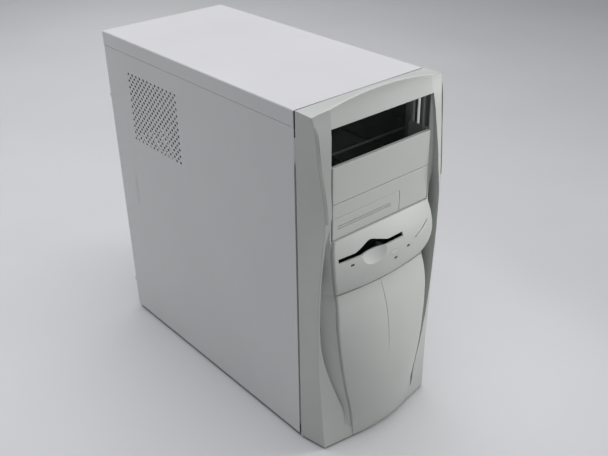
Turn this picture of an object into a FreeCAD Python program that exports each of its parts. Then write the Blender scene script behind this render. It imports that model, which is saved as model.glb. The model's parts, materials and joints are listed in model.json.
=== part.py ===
import FreeCAD, Part
import math
import os

from FreeCAD import Vector

# Desktop computer tower: a painted steel case with a moulded front bezel, and the drives, power
# supply and boards that it holds. Millimetres, +Z up, the front faces -Y, +X is the right-hand side
# seen from the front. Pieces are built with y = 0 at the seam between the bezel and the steel case,
# and are then moved so that the origin is under the middle of the whole tower, on the floor.

# ---- driving dimensions: the case and its bezel ----
CASE_WIDTH = 189.0
CASE_TOP = 430.5
CASE_DEPTH = 381.0
FOOT_HEIGHT = 4.0
FRONT_REACH = 60.0
REAR_REACH = 390.0
SHEET = 1.0
BEZEL_WALL = 2.5
BEZEL_ARCH = 13.0
BEZEL_TOP_DEPTH = 30.0
BEZEL_TOP_DROP = 1.2
TOP_EDGE_RADIUS = 3.0
CORNER_RADIUS = 1.2
SOLID_WING = 2.2
PANEL_STEP = 2.5
PANEL_BACK = 9.0
SKIRT_BOTTOM = 412.0
PANEL_GAP = 0.4
STEEL_FRONT = 3.0
TOP_FRONT = 1.8
THUMBSCREW_X = 85.0
THUMBSCREW_HEIGHTS = (46.0, 342.0)
LOOP_Z = 145.6
VENT_REAR_Y, VENT_TOP_Z = 326.5, 386.0
VENT_ROWS, VENT_COLUMNS = 21, 13
VENT_PITCH_Y, VENT_PITCH_Z = 8.8, 4.42
VENT_RADIUS = 1.9

# ---- driving dimensions: the front's openings and controls ----
BAY_WIDTH = 148.0
BAY_HEIGHT = 42.4
BAY_TOP = 414.6
BAY_COUNT = 3
COVER_Y = -33.0
INSERT_RIGHT = 27.5
INSERT_HEIGHT = 25.6
POWER_X, POWER_Z, POWER_TILT = 55.3, 259.6, 27.0
EJECT_X, EJECT_Z = 6.5, 249.5
CREASE_X = -6.8
LENS_PLACES = [(-55.0, 255.5), (9.5, 240.5), (30.5, 247.5)]
FLOPPY_WIDTH = 101.6
FLOPPY_X = -23.0
FLOPPY_Z = 251.0
FLOPPY_SLOT_Z = 265.0
SLOT_X = -25.0
SLOT_HALF = 47.3
SLOT_HEIGHT = 5.4
SCOOP_RADIUS = 50.0
SCOOP_BACK = -41.8
HARD_DRIVE_Z = 186.0
SPEAKER_Z, SPEAKER_RADIUS = 58.0, 30.0
DRIVE_HOLE_Y, DRIVE_HOLE_SPACING = 47.5, 79.25
DRIVE_HOLE_RISE, DRIVE_HOLE_RADIUS = 10.5, 1.75

# ---- driving dimensions: the board, the card slots and the power supply ----
BOARD_X = 73.0
BOARD_THICKNESS = 1.6
BOARD_FRONT_Y = 190.0
BOARD_LOW_Z = 20.0
BOARD_HIGH_Z = 325.0
CPU_Y, CPU_Z = 300.0, 236.0
MEMORY_YS = (212.0, 223.0, 234.0)
POWER_PLUG_Z = 303.0
CARD_SLOT_YS = (286.0, 372.0)
SLOT_PITCH = 20.32
FIRST_SLOT_Z = 150.0
SLOT_COUNT = 7
SLOT_LEFT, SLOT_RIGHT = -31.0, 68.0
CARD_SLOT = 1
IO_WINDOW_X = (30.5, 76.0)
IO_WINDOW_Z = (164.0, 322.0)
SUPPLY_WIDTH = 150.0
SUPPLY_HEIGHT = 86.0
SUPPLY_DEPTH = 140.0
SUPPLY_FAN = 80.0
PROCESSOR_FAN = 60.0
ROCKER_TILT = 10.0

# ---- worked out from them ----
HALF = CASE_WIDTH / 2
TO_ORIGIN = -(REAR_REACH - FRONT_REACH) / 2
BASE_Z = FOOT_HEIGHT
REAR_FACE = CASE_DEPTH
REAR_INSIDE = REAR_FACE - SHEET
FLANGE_Y = REAR_FACE + 0.3
BAY_BOTTOM = BAY_TOP - BAY_COUNT * BAY_HEIGHT
INSERT_TOP = BAY_BOTTOM + INSERT_HEIGHT
SLOT_LOW = FLOPPY_SLOT_Z - SLOT_HEIGHT / 2
SLOT_HIGH = FLOPPY_SLOT_Z + SLOT_HEIGHT / 2
SMALL_CAGE_LEFT = FLOPPY_X - FLOPPY_WIDTH / 2 - 0.8
SMALL_CAGE_RIGHT = FLOPPY_X + FLOPPY_WIDTH / 2 + 0.8
BOARD_BACK_X = BOARD_X + BOARD_THICKNESS
BOARD_REAR_Y = REAR_INSIDE - 2
STEM_X = POWER_X + 3.0 * math.sin(math.radians(POWER_TILT))
STEM_Z = POWER_Z - 3.0 * math.cos(math.radians(POWER_TILT))
SLOT_HEIGHTS = [FIRST_SLOT_Z - SLOT_PITCH * index for index in range(SLOT_COUNT)]
SLOT_SCREW_X = SLOT_LEFT - 5.5
SUPPLY_TOP = SKIRT_BOTTOM + 6
SUPPLY_BOTTOM = SUPPLY_TOP - SUPPLY_HEIGHT
SUPPLY_RIGHT = BOARD_X + 7
SUPPLY_LEFT = SUPPLY_RIGHT - SUPPLY_WIDTH
SUPPLY_FRONT = REAR_INSIDE - SUPPLY_DEPTH
FAN_X = SUPPLY_LEFT + 45
FAN_Z = (SUPPLY_BOTTOM + SUPPLY_TOP) / 2
INLET_X, INLET_Z = 56.0, SUPPLY_BOTTOM + 19
ROCKER_X, ROCKER_Z = 56.0, SUPPLY_BOTTOM + 45
ROCKER_PIVOT_Y = REAR_INSIDE - 3.0
SELECTOR_X, SELECTOR_Z = 56.0, SUPPLY_BOTTOM + 67

PIECES = {}


# ---- helpers ----
def box(x0, x1, y0, y1, z0, z1):
    return Part.makeBox(x1 - x0, y1 - y0, z1 - z0, Vector(x0, y0, z0))


def block_at(x, z, half_x, half_z, y0, y1):
    """A block centred on (x, z) that runs from y0 to y1."""
    return box(x - half_x, x + half_x, y0, y1, z - half_z, z + half_z)


def rod(start, direction, radius, length):
    return Part.makeCylinder(radius, length, Vector(*start), Vector(*direction))


def prism(corners, direction):
    """A closed polygon of (x, y, z) corners, drawn out along a direction."""
    points = [Vector(*corner) for corner in corners]
    face = Part.Face(Part.makePolygon(points + points[:1]))
    return face.extrude(Vector(*direction))


def joined(shapes):
    shapes = list(shapes)
    return shapes[0].multiFuse(shapes[1:]).removeSplitter()


def group(shapes):
    return Part.makeCompound(list(shapes))


def mirrored(shape):
    return shape.mirror(Vector(0, 0, 0), Vector(1, 0, 0))


def both_sides(shape):
    return [shape, mirrored(shape)]


def turned(shape, centre, axis, degrees):
    copy = shape.copy()
    copy.rotate(Vector(*centre), Vector(*axis), degrees)
    return copy


def moved(shape, x, y, z):
    copy = shape.copy()
    copy.translate(Vector(x, y, z))
    return copy


def facing_rear(shape, x, y, z):
    """Place a piece built along +Z so that it runs along +Y from a point."""
    return moved(turned(shape, (0, 0, 0), (1, 0, 0), -90), x, y, z)


def board_block(y, z, half_y, half_z, low, high):
    """A block on the main board, centred on (y, z), that stands from low to high above its face."""
    return box(BOARD_X - high, BOARD_X - low, y - half_y, y + half_y, z - half_z, z + half_z)


def facing_left(shape, x, y, z):
    """Place a piece built along +Z so that it runs along -X from a point."""
    return moved(turned(shape, (0, 0, 0), (0, 1, 0), -90), x, y, z)


def edge_filleted(shape, radius, chosen):
    """Round the edges for which chosen(edge) is true."""
    return shape.makeFillet(radius, [edge for edge in shape.Edges if chosen(edge)])


def grid(first, pitch, count):
    return [first + pitch * index for index in range(count)]


def curved(stations, z):
    """Smooth value at height z of a quantity given at (z, value) stations (cubic Hermite)."""
    if z <= stations[0][0]:
        return stations[0][1]
    for index in range(len(stations) - 1):
        (z0, v0), (z1, v1) = stations[index], stations[index + 1]
        if z <= z1:
            before = stations[max(index - 1, 0)]
            after = stations[min(index + 2, len(stations) - 1)]
            slope0 = (v1 - before[1]) / (z1 - before[0])
            slope1 = (after[1] - v0) / (after[0] - z0)
            t = (z - z0) / (z1 - z0)
            span = z1 - z0
            return ((2 * t**3 - 3 * t**2 + 1) * v0 + (t**3 - 2 * t**2 + t) * span * slope0
                    + (-2 * t**3 + 3 * t**2) * v1 + (t**3 - t**2) * span * slope1)
    return stations[-1][1]


def polygon_wire(corners, z):
    points = [Vector(x, y, z) for x, y in corners]
    return Part.makePolygon(points + points[:1])


def loft(wires):
    return Part.makeLoft(wires, True, False)


# ---- the front bezel's form: half-widths and forward reaches at heights above the floor ----
SIDE_EDGE_X = [(3.5, 87.8), (30, 89.6), (60, 90.8), (120, 93.6), (180, 95.0), (240, 94.6),
               (290, 91.7), (323, 90.2), (345, 91.1), (380, 93.4), (414, 94.4), (446, 94.5)]
SIDE_EDGE_REACH = [(3.5, 35.8), (30, 34.4), (60, 33.4), (120, 32.2), (180, 32.9), (240, 35.4),
                   (290, 38.2), (323, 39.5), (345, 37.4), (380, 33.0), (414, 29.2), (446, 27.0)]
INNER_X = [(3.5, 48.5), (30, 51.0), (60, 56.4), (120, 67.4), (180, 72.1), (240, 77.5),
           (290, 82.0), (323, 82.6), (345, 81.7), (380, 79.0), (414, 75.6), (446, 74.0)]
INNER_REACH = [(3.5, 42.2), (30, 42.7), (60, 42.6), (120, 41.5), (180, 40.6), (240, 40.2),
               (290, 41.0), (323, 40.8), (345, 39.2), (380, 36.1), (414, 32.2), (446, 29.8)]
BEZEL_HEIGHTS = [3.5, 30, 60, 95, 135, 180, 225, 262, 295, 323, 350, 382, 414, 446]

# ---- the side channels: wing thickness, the floor's outer reach, and the frame beside the bays ----
WING = [(20, 32.0), (40, 28.1), (60, 24.8), (75, 20.5), (90, 16.5), (110, 11.6), (130, 7.4), (150, 4.4),
        (180, 2.4), (262, 2.0), (290, 2.6), (300, 4.0), (312, 6.2), (323, 7.8), (345, 9.4), (360, 11.4),
        (375, 13.8), (390, 15.8), (408, 18.2), (418, 19.2)]
FLOOR_REACH = [(20, 41.5), (40, 37.5), (60, 34.5), (80, 32.0), (95, 29.8), (112, 25.8), (138, 19.6),
               (180, 13.6), (262, 11.0), (287, 16.0), (300, 23.0), (312, 29.0), (323, 31.8), (345, 32.4),
               (375, 32.2), (390, 31.6), (408, 30.2), (418, 29.4)]
FRAME_X = [(287.4, 77.0), (300, 77.0), (323, 76.0), (345, 74.6), (360, 73.6), (418, 73.0)]
FRAME_REACH = [(287.4, 32.5), (375, 32.4), (390, 31.8), (408, 30.4), (416, 29.6)]
CHANNEL_LOW = [20, 40, 60, 80, 95, 112, 138, 165, 190, 216]
CHANNEL_HIGH = [216, 224, 232, 241, 251, 262, 275, 287.4, 300, 312, 323, 345, 360, 375, 390, 402, BAY_TOP]

# ---- the two raised centre panels: half-width, reach at the edge, reach in the middle ----
POD_EDGE_X = [(216.5, 69.4), (222, 71.2), (230, 74.0), (240, 76.8), (250, 78.2), (260, 78.3),
              (270, 77.6), (280, 76.0), (287.1, 73.8)]
POD_EDGE_REACH = [(216.5, 33.6), (222, 36.4), (230, 39.4), (240, 41.4), (250, 41.9),
                  (260, 41.2), (270, 39.4), (280, 37.0), (287.1, 35.0)]
POD_MIDDLE_REACH = [(216.5, 40.6), (222, 43.6), (230, 46.6), (240, 48.4), (250, 48.6),
                    (260, 47.2), (270, 44.0), (280, 39.4), (287.1, 35.3)]
POD_HEIGHTS = [216.5, 223, 231, 241, 251, 261, 271, 280, 287.1]
LOWER_EDGE_X = [(3.5, 47.8), (25, 49.8), (45, 53.0), (60, 56.0), (75, 59.2), (90, 62.2),
                (105, 64.8), (120, 67.0), (150, 70.5), (185, 71.8), (215.9, 69.6)]
LOWER_EDGE_REACH = [(3.5, 42.6), (25, 44.8), (60, 46.3), (100, 46.2), (150, 44.2), (185, 41.8),
                    (200, 39.6), (215.9, 35.4)]
LOWER_MIDDLE_REACH = [(3.5, 47.4), (25, 52.6), (60, 58.0), (100, 60.0), (150, 56.4), (185, 50.6),
                      (200, 46.4), (215.9, 41.2)]
LOWER_HEIGHTS = [3.5, 25, 50, 75, 100, 130, 160, 185, 202, 215.9]


def bezel_section(z, inset=0.0, back=0.0):
    edge_x = curved(SIDE_EDGE_X, z) - inset
    edge_y = inset - curved(SIDE_EDGE_REACH, z)
    inner_x = curved(INNER_X, z) - inset
    inner_y = inset - curved(INNER_REACH, z)
    sides = []
    for side in (1, -1):
        inner = Vector(side * inner_x, inner_y, z)
        before = Vector(side * (edge_x - CORNER_RADIUS), edge_y, z)
        corner = Vector(side * (edge_x - 0.29 * CORNER_RADIUS), edge_y + 0.29 * CORNER_RADIUS, z)
        after = Vector(side * edge_x, edge_y + CORNER_RADIUS, z)
        rear = Vector(side * (HALF - inset), back, z)
        sides.append((inner, before, corner, after, rear))
    right, left = sides
    return Part.Wire([
        Part.makeLine(left[0], right[0]),
        Part.makeLine(right[0], right[1]),
        Part.Arc(*right[1:4]).toShape(),
        Part.makeLine(right[3], right[4]),
        Part.makeLine(right[4], left[4]),
        Part.makeLine(left[4], left[3]),
        Part.Arc(left[3], left[2], left[1]).toShape(),
        Part.makeLine(left[1], left[0]),
    ])


def above_arches(arches):
    """Everything above a surface drawn through arches: (y, height at the sides, height in the middle)."""
    wires = []
    for y, side_z, middle_z in arches:
        left, middle, right = Vector(-98, y, side_z), Vector(0, y, middle_z), Vector(98, y, side_z)
        arch = Part.Arc(left, middle, right).toShape()
        corners = [right, Vector(98, y, 560), Vector(-98, y, 560), left]
        wires.append(Part.Wire([arch] + Part.makePolygon(corners).Edges))
    return Part.makeLoft(wires, True, True)


def arch_cutter():
    """Everything above the bezel's top, which rises from a straight seam to an arch in front."""
    reach = 70.0
    return above_arches([(1.0, CASE_TOP, CASE_TOP + 0.02),
                         (-reach, CASE_TOP - BEZEL_TOP_DROP * reach / BEZEL_TOP_DEPTH,
                          CASE_TOP + BEZEL_ARCH * reach / BEZEL_TOP_DEPTH)])


def top_edge_cutters():
    """Cutters that round off the edge between the bezel's arched top and its front, in narrow facets."""
    cutters = []
    centre_y = TOP_EDGE_RADIUS - BEZEL_TOP_DEPTH
    share = -centre_y / BEZEL_TOP_DEPTH
    side_z = CASE_TOP - TOP_EDGE_RADIUS - BEZEL_TOP_DROP * share
    middle_z = CASE_TOP - 1.2 * TOP_EDGE_RADIUS + BEZEL_ARCH * share
    for tilt in grid(12, 15, 5):
        lean = math.radians(tilt)
        arches = []
        for y in (-12.0, -48.0):
            lift = (TOP_EDGE_RADIUS + math.sin(lean) * (y - centre_y)) / math.cos(lean)
            arches.append((y, side_z + lift, middle_z + lift))
        cutters.append(above_arches(arches))
    return cutters


def channel_floor_start(z):
    """Where a channel's sloping floor starts: beside the centre panels, or beside the drive bays."""
    if z < POD_EDGE_X[0][0]:
        return curved(LOWER_EDGE_X, z) - 1.0, curved(LOWER_EDGE_REACH, z) - PANEL_STEP
    if z < BAY_BOTTOM - 0.5:
        return curved(POD_EDGE_X, z) - 1.0, curved(POD_EDGE_REACH, z) - PANEL_STEP
    return curved(FRAME_X, z), curved(FRAME_REACH, z)


def channel_section(z, grown):
    """One channel's cross-section: a floor that slopes from the centre pieces out to the wing.

    A grown section takes in nearly all of the wing, so that the wing is left solid behind it.
    """
    edge_x = curved(SIDE_EDGE_X, z)
    edge_reach = curved(SIDE_EDGE_REACH, z)
    floor_x, floor_reach = channel_floor_start(z)
    wing = curved(WING, z)
    outer_y = grown - curved(FLOOR_REACH, z)
    slope = (HALF - edge_x) / edge_reach
    front = -78.0
    inner_x = floor_x - 5 - grown
    foot_x = edge_x + slope * (outer_y + edge_reach)
    corners = [(inner_x, grown - floor_reach), (inner_x, front)]
    if grown:
        skin = min(wing - 0.3, SOLID_WING)
        corners += [(edge_x - skin + slope * (front + edge_reach), front), (foot_x - skin, outer_y)]
    else:
        corners.append((edge_x - wing + slope * (front + edge_reach), front))
    corners += [(foot_x - wing, outer_y), (floor_x - grown, grown - floor_reach)]
    return polygon_wire(corners, z)


def channel_cutters(grown=0.0):
    cutters = []
    for heights in (CHANNEL_LOW, CHANNEL_HIGH):
        cutters += both_sides(loft([channel_section(z, grown) for z in heights]))
    return cutters


def bowed_section(z, half_width, edge_reach, middle_reach, back, soft=2.0):
    """A panel's cross-section: a bowed front, softly rounded edges, and straight flanks."""
    flank_top = Vector(half_width, soft - edge_reach, z)
    flank_back = Vector(half_width, back, z)
    middle = Vector(0, -middle_reach, z)
    turn = Vector(half_width - 0.29 * soft, 0.29 * soft - edge_reach, z)
    shoulder = Vector(half_width - soft, -edge_reach - 0.06 * soft, z)
    flip = [Vector(-point.x, point.y, z) for point in (flank_back, flank_top, turn, shoulder)]
    edges = [
        Part.makeLine(flank_back, flank_top),
        Part.Arc(flank_top, turn, shoulder).toShape(),
        Part.Arc(shoulder, middle, flip[3]).toShape(),
        Part.Arc(flip[3], flip[2], flip[1]).toShape(),
        Part.makeLine(flip[1], flip[0]),
        Part.makeLine(flip[0], flank_back),
    ]
    return Part.Wire(edges)


def pod_block(inset=0.0, back=-PANEL_BACK):
    low, high = POD_HEIGHTS[0] + inset, POD_HEIGHTS[-1] - inset
    heights = [min(max(z, low), high) for z in POD_HEIGHTS]
    return loft([bowed_section(z, curved(POD_EDGE_X, z) - inset, curved(POD_EDGE_REACH, z) - inset,
                               curved(POD_MIDDLE_REACH, z) - inset, back) for z in heights])


def lower_block(inset=0.0, back=-PANEL_BACK):
    low, high = LOWER_HEIGHTS[0] + inset, LOWER_HEIGHTS[-1] - inset
    heights = [min(max(z, low), high) for z in LOWER_HEIGHTS]
    return loft([bowed_section(z, curved(LOWER_EDGE_X, z) - inset, curved(LOWER_EDGE_REACH, z) - inset,
                               curved(LOWER_MIDDLE_REACH, z) - inset, back) for z in heights])


def panel_recess(widen, heights, edge_x):
    """The bezel's cut-out behind a raised centre panel."""
    wires = []
    for z in heights:
        half = curved(edge_x, z) + widen
        wires.append(polygon_wire([(half, -78), (half, -PANEL_BACK), (-half, -PANEL_BACK), (-half, -78)], z))
    return loft(wires)


def edge_groove():
    """A shallow groove along the wing's outer corner, from the top to the waist."""
    wires = []
    for z in (316, 330, 345, 368, 392, 414, 446):
        x = curved(SIDE_EDGE_X, z)
        y = -curved(SIDE_EDGE_REACH, z)
        wires.append(polygon_wire([(x - 0.7, y - 4), (x - 0.7, y + 1.3), (x - 3.6, y - 0.4),
                                   (x - 3.6, y - 4)], z))
    return both_sides(loft(wires))


def front_bezel():
    outer = loft([bezel_section(z) for z in BEZEL_HEIGHTS])
    outer = outer.cut([arch_cutter()] + top_edge_cutters() + channel_cutters() + edge_groove())
    half = BAY_WIDTH / 2
    bay = box(-half, half, -78, 5, BAY_BOTTOM, BAY_TOP)
    flare = prism([(half, -30.4, BAY_BOTTOM), (half + 2, -32.8, BAY_BOTTOM), (half + 2, -78, BAY_BOTTOM),
                   (-half - 2, -78, BAY_BOTTOM), (-half - 2, -32.8, BAY_BOTTOM), (-half, -30.4, BAY_BOTTOM)],
                  (0, 0, BAY_TOP - BAY_BOTTOM))
    recesses = [
        panel_recess(0.15, [POD_HEIGHTS[0] - 1] + POD_HEIGHTS[1:-1] + [BAY_BOTTOM + 0.5], POD_EDGE_X),
        panel_recess(0.15, [-1] + LOWER_HEIGHTS[1:-1] + [POD_HEIGHTS[0]], LOWER_EDGE_X),
    ]
    outer = outer.cut([bay, flare] + recesses)
    cable_window = box(-75, 64, -20, 5, 224, 283)
    heights = [6.0 if z == BEZEL_HEIGHTS[0] else min(z, 428) for z in BEZEL_HEIGHTS]
    hollow = loft([bezel_section(z, BEZEL_WALL, 1.0) for z in heights])
    tunnel = box(-half - 2.4, half + 2.4, -78, 5, BAY_BOTTOM - 2.4, BAY_TOP + 2.4)
    panel_floor = box(-80, 80, -78, -PANEL_BACK + BEZEL_WALL, 0, BAY_BOTTOM)
    hollow = hollow.cut(channel_cutters(BEZEL_WALL) + [tunnel, panel_floor])
    side_windows = []
    for front, back in ((-29.0, -21.5), (-19.5, 4.0)):
        window = box(half - 1, half + 3.5, front, back, BAY_TOP - BAY_HEIGHT + 1, BAY_TOP - 1)
        side_windows += both_sides(window)
    ribs = both_sides(box(half - 0.8, half + 0.5, -21.5, -19.5, BAY_BOTTOM, BAY_TOP))
    return outer.cut([hollow, cable_window] + side_windows).multiFuse(ribs)


def tray_cover(x0, x1, z0, z1, lip):
    """A blanking cover: a flat face with a return lip round its edge."""
    shell = box(x0, x1, COVER_Y, COVER_Y + lip, z0, z1)
    shell = edge_filleted(shell, 0.8, lambda edge: abs(edge.CenterOfMass.y - COVER_Y) < 0.01)
    return shell.cut(box(x0 + 1.8, x1 - 1.8, COVER_Y + 2.2, COVER_Y + lip + 1, z0 + 1.8, z1 - 1.8))


def bay_covers():
    half = BAY_WIDTH / 2 - 0.25
    low, middle = BAY_BOTTOM + 0.2, BAY_BOTTOM + BAY_HEIGHT
    PIECES["bay_cover_upper"] = tray_cover(-half, half, middle + 0.2, middle + BAY_HEIGHT - 0.2, 5)
    cover = tray_cover(-half, half, low, middle - 0.2, 11)
    PIECES["bay_cover_lower"] = cover.cut(box(-HALF, INSERT_RIGHT + 0.3, -40, 0, 0, INSERT_TOP + 0.3))
    insert = tray_cover(-half, INSERT_RIGHT, low, INSERT_TOP, 9)
    holes = [rod((x, -40, z), (0, 1, 0), 0.65, 12)
             for z in (INSERT_TOP - 13.2, INSERT_TOP - 10.4) for x in grid(-66, 2.45, 33)]
    PIECES["bay_insert_small"] = insert.cut(holes)


# ---- the control panel and what presses or glows on it ----
def crescent(grow, y0, y1):
    """A power key's outline: two arcs that both bulge downwards, the lower one more."""
    half, up, down = 13.0 + 2 * grow, grow - 1.0, 5.2 + grow
    left, right = Vector(-half, y0, grow), Vector(half, y0, grow)
    upper = Part.Arc(right, Vector(0, y0, up), left).toShape()
    lower = Part.Arc(left, Vector(0, y0, -down), right).toShape()
    solid = Part.Face(Part.Wire([upper, lower])).extrude(Vector(0, y1 - y0, 0))
    return moved(turned(solid, (0, 0, 0), (0, 1, 0), -POWER_TILT), POWER_X, 0, POWER_Z)


def slot_shape(y0, y1):
    """The diskette slot: a thin slit with a peaked finger notch in the middle."""
    corners = [(-SLOT_HALF, SLOT_LOW), (SLOT_HALF, SLOT_LOW), (SLOT_HALF, SLOT_HIGH), (23.5, SLOT_HIGH),
               (3.0, SLOT_HIGH + 6.9), (-1.5, SLOT_HIGH + 7.7), (-5.0, SLOT_HIGH + 7.0),
               (-15.5, SLOT_HIGH + 2.8), (-24, SLOT_HIGH), (-SLOT_HALF, SLOT_HIGH)]
    return prism([(SLOT_X + x, y0, z) for x, z in corners], (0, y1 - y0, 0))


def slot_scoop(grown, back):
    """The lower part of a ball that hollows the panel under the diskette slot."""
    radius = SCOOP_RADIUS + grown
    ball = Part.makeSphere(radius, Vector(SLOT_X, SCOOP_BACK - SCOOP_RADIUS, SLOT_HIGH + 3))
    return ball.common(box(-90, 60, -150, back, 200, SLOT_HIGH))


def pill(x, z, width, height, y0, y1):
    """A bar along Y with round ends left and right."""
    ends = [rod((x + side * (width - height) / 2, y0, z), (0, 1, 0), height / 2, y1 - y0) for side in (-1, 1)]
    middle = box(x - (width - height) / 2, x + (width - height) / 2, y0, y1, z - height / 2, z + height / 2)
    return joined(ends + [middle])


def control_panel():
    body = pod_block()
    scoop_wall = body.common(slot_scoop(2.2, -20))
    shell = body.cut(pod_block(BEZEL_WALL, 1.0)).fuse(scoop_wall)
    tools = [slot_scoop(0, -30), slot_shape(-80, -20), crescent(0.45, -70, -20),
             pill(EJECT_X, EJECT_Z, 12.7, 5.3, -70, -20)]
    tools += [pill(x, z, 5.2, 2.8, -70, -20) for x, z in LENS_PLACES]
    return shell.cut(tools).removeSplitter()


def control_pieces():
    PIECES["control_panel"] = control_panel()
    front = pod_block(-0.9)
    cap = crescent(0.0, -60, -34).common(front)
    stem = rod((STEM_X, -36, STEM_Z), (0, 1, 0), 2.2, 16)
    PIECES["power_button"] = joined([cap, stem])
    key = pill(EJECT_X, EJECT_Z, 12.2, 4.8, -60, -40).common(pod_block(-0.1))
    key_stem = rod((EJECT_X, -41, EJECT_Z), (0, 1, 0), 1.8, 20.5)
    PIECES["floppy_eject_button"] = joined([key, key_stem])
    lens_layer = pod_block(0.7)
    PIECES["lamp_lenses"] = group(pill(x, z, 5.2, 2.8, -60, -37).common(lens_layer) for x, z in LENS_PLACES)
    board = box(28.4, 68, -14.6, -13, 232, 266)
    board = joined([board] + [rod((x, -15.5, 236), (0, 1, 0), 2.0, 1.5) for x in (33, 64)])
    switch = block_at(STEM_X, STEM_Z, 5, 5, -16.8, -14.6)
    lamps = [rod((x, -35, z), (0, 1, 0), 1.4, 20.4) for x, z in LENS_PLACES[2:]]
    PIECES["front_switch_board"] = joined([board, switch] + lamps)
    PIECES["lower_front_panel"] = lower_panel()


def lower_panel():
    """The bellied lower panel, with a fine crease down the middle of its upper half."""
    shell = lower_block().cut(lower_block(BEZEL_WALL, 1.0))
    crease = []
    for z in (110, 130, 155, 180, 200, 217):
        depth = 0.1 + 1.1 * min(1.0, (z - 110) / 40.0)
        y = -curved(LOWER_MIDDLE_REACH, z)
        x = CREASE_X + 2.0 * math.sin((z - 110) / 107.0 * math.pi)
        crease.append(polygon_wire([(x - 0.9, y - 2), (x + 0.9, y - 2), (x, y + depth)], z))
    return shell.cut(loft(crease))


# ---- the steel case ----
def sheet_panel(left):
    """A side panel: a flat sheet with a front return lip and a rear flange with screw holes."""
    x0, x1 = -HALF, -HALF + SHEET
    sheet = box(x0, x1, STEEL_FRONT, FLANGE_Y + SHEET, BASE_Z + 1.2, SKIRT_BOTTOM - PANEL_GAP)
    flange = box(x0, -78, FLANGE_Y, FLANGE_Y + SHEET, BASE_Z + 8, SKIRT_BOTTOM - 4)
    lip = box(x0, x0 + 3.2, STEEL_FRONT, STEEL_FRONT + SHEET, BASE_Z + 14, SKIRT_BOTTOM - 12)
    panel = joined([sheet, flange, lip])
    panel = edge_filleted(panel, 0.9, lambda edge: abs(edge.CenterOfMass.x + HALF) < 0.01
                          and abs(edge.CenterOfMass.y - FLANGE_Y - SHEET) < 0.01)
    holes = [rod((-THUMBSCREW_X, FLANGE_Y - 1, z), (0, 1, 0), 2.4, 4) for z in THUMBSCREW_HEIGHTS]
    cutters = holes
    if left:
        cutters = holes + vent_holes() + [padlock_window()]
    return panel.cut(cutters)


def vent_holes():
    """Staggered rows of round holes."""
    holes = []
    for row in range(VENT_ROWS):
        shift = VENT_PITCH_Y / 2 * (row % 2)
        for column in range(VENT_COLUMNS - row % 2):
            y = VENT_REAR_Y - shift - column * VENT_PITCH_Y
            z = VENT_TOP_Z - row * VENT_PITCH_Z
            holes.append(rod((-HALF - 1, y, z), (1, 0, 0), VENT_RADIUS, 3))
    return holes


def padlock_window():
    return box(-91.5, -80, FLANGE_Y - 1, FLANGE_Y + SHEET + 1, LOOP_Z - 9, LOOP_Z + 9)


def thumbscrews(x):
    screws = []
    for z in THUMBSCREW_HEIGHTS:
        head = rod((x, FLANGE_Y + SHEET, z), (0, 1, 0), 7.5, 6.2)
        flats = [turned(box(x + 7.0, x + 9, REAR_FACE, REAR_REACH, z - 0.7, z + 0.7), (x, 0, z), (0, 1, 0), a)
                 for a in grid(0, 20, 18)]
        collar = rod((x, FLANGE_Y + SHEET + 6.2, z), (0, 1, 0), 4.5, REAR_REACH - FLANGE_Y - SHEET - 6.2)
        shaft = rod((x, REAR_FACE - 6, z), (0, 1, 0), 1.7, 9)
        cross = box(x - 3.4, x + 3.4, REAR_REACH - 1.2, REAR_REACH + 1, z - 0.5, z + 0.5)
        screws.append(joined([head.cut(flats), collar, shaft]).cut(cross))
    return group(screws)


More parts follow.
